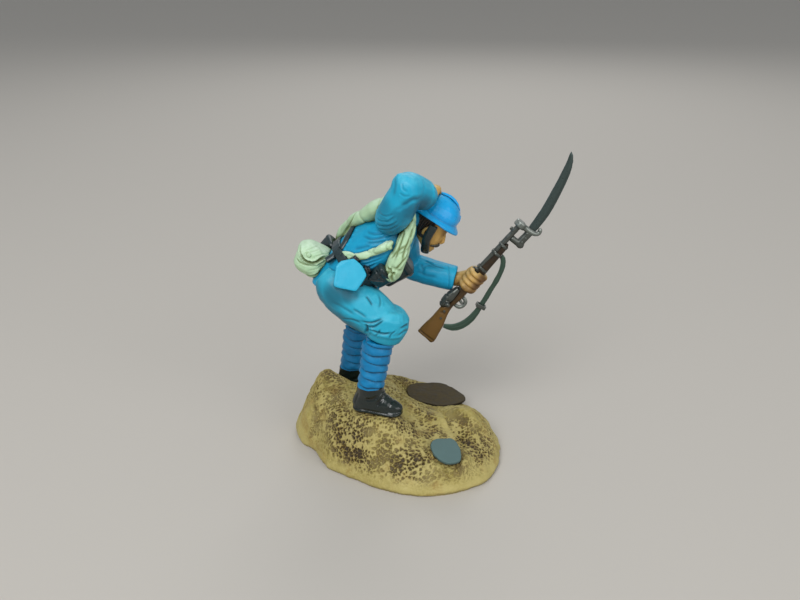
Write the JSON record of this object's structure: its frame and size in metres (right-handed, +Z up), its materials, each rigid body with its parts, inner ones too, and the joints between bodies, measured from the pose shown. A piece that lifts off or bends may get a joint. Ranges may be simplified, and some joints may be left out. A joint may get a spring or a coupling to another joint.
{
  "type": "toy soldier figure",
  "caption": "Painted toy soldier crouching on a sculpted ground base, steadying a steel helmet and holding out a slung rifle with a fixed bayonet.",
  "frame": {"origin": "middle of the flat underside of the base", "axes": "+X the way the figure faces, +Y to the figure's left, +Z up"},
  "size_m": [0.046, 0.0353, 0.0514],
  "materials": {
    "groundwork_paint": "dry sandy ochre over dark brown wash",
    "mud_paint": "smooth dark brown",
    "stone_paint": "smooth blue grey",
    "boot_paint": "gloss black",
    "puttee_paint": "satin strong blue",
    "breeches_paint": "satin light blue",
    "tunic_paint": "satin sky blue",
    "sleeve_paint": "satin light sky blue",
    "skin_paint": "satin tan with brown shading",
    "hair_paint": "matt dark brown",
    "helmet_paint": "gloss bright blue",
    "leather_paint": "satin dark slate",
    "cream_paint": "satin cream with olive shading",
    "canteen_paint": "satin light blue",
    "stock_paint": "satin walnut brown",
    "gunmetal_paint": "gloss dark gunmetal",
    "sling_paint": "satin dark green",
    "blade_paint": "gloss dark steel grey"
  },
  "bodies": {
    "root": {"base_terrain": "groundwork_paint", "mud_patch": "mud_paint", "grey_stone": "stone_paint", "right_boot": "boot_paint", "left_boot": "boot_paint", "right_puttee": "puttee_paint", "left_puttee": "puttee_paint", "breeches": "breeches_paint", "tunic": "tunic_paint", "collar": "tunic_paint", "right_sleeve": "sleeve_paint", "left_sleeve": "sleeve_paint", "right_hand": "skin_paint", "left_hand": "skin_paint", "head": "skin_paint", "hair": "hair_paint", "moustache": "hair_paint", "helmet": "helmet_paint", "helmet_comb": "helmet_paint", "helmet_boss": "helmet_paint", "chin_strap": "leather_paint", "belt": "leather_paint", "right_pouch": "leather_paint", "left_pouch": "leather_paint", "shoulder_strap": "leather_paint", "blanket_roll": "cream_paint", "bread_bag": "cream_paint", "bread_bag_strap": "cream_paint", "canteen": "canteen_paint", "canteen_corks": "boot_paint", "canteen_strap": "leather_paint", "mess_tin": "leather_paint", "rifle_stock": "stock_paint", "rifle_barrel": "gunmetal_paint", "barrel_bands": "gunmetal_paint", "rifle_bolt": "gunmetal_paint", "trigger_guard": "gunmetal_paint", "rifle_sling": "sling_paint", "sling_buckle": "gunmetal_paint", "bayonet_grip": "gunmetal_paint", "bayonet_guard": "blade_paint", "bayonet_blade": "blade_paint"}
  },
  "joints": []
}
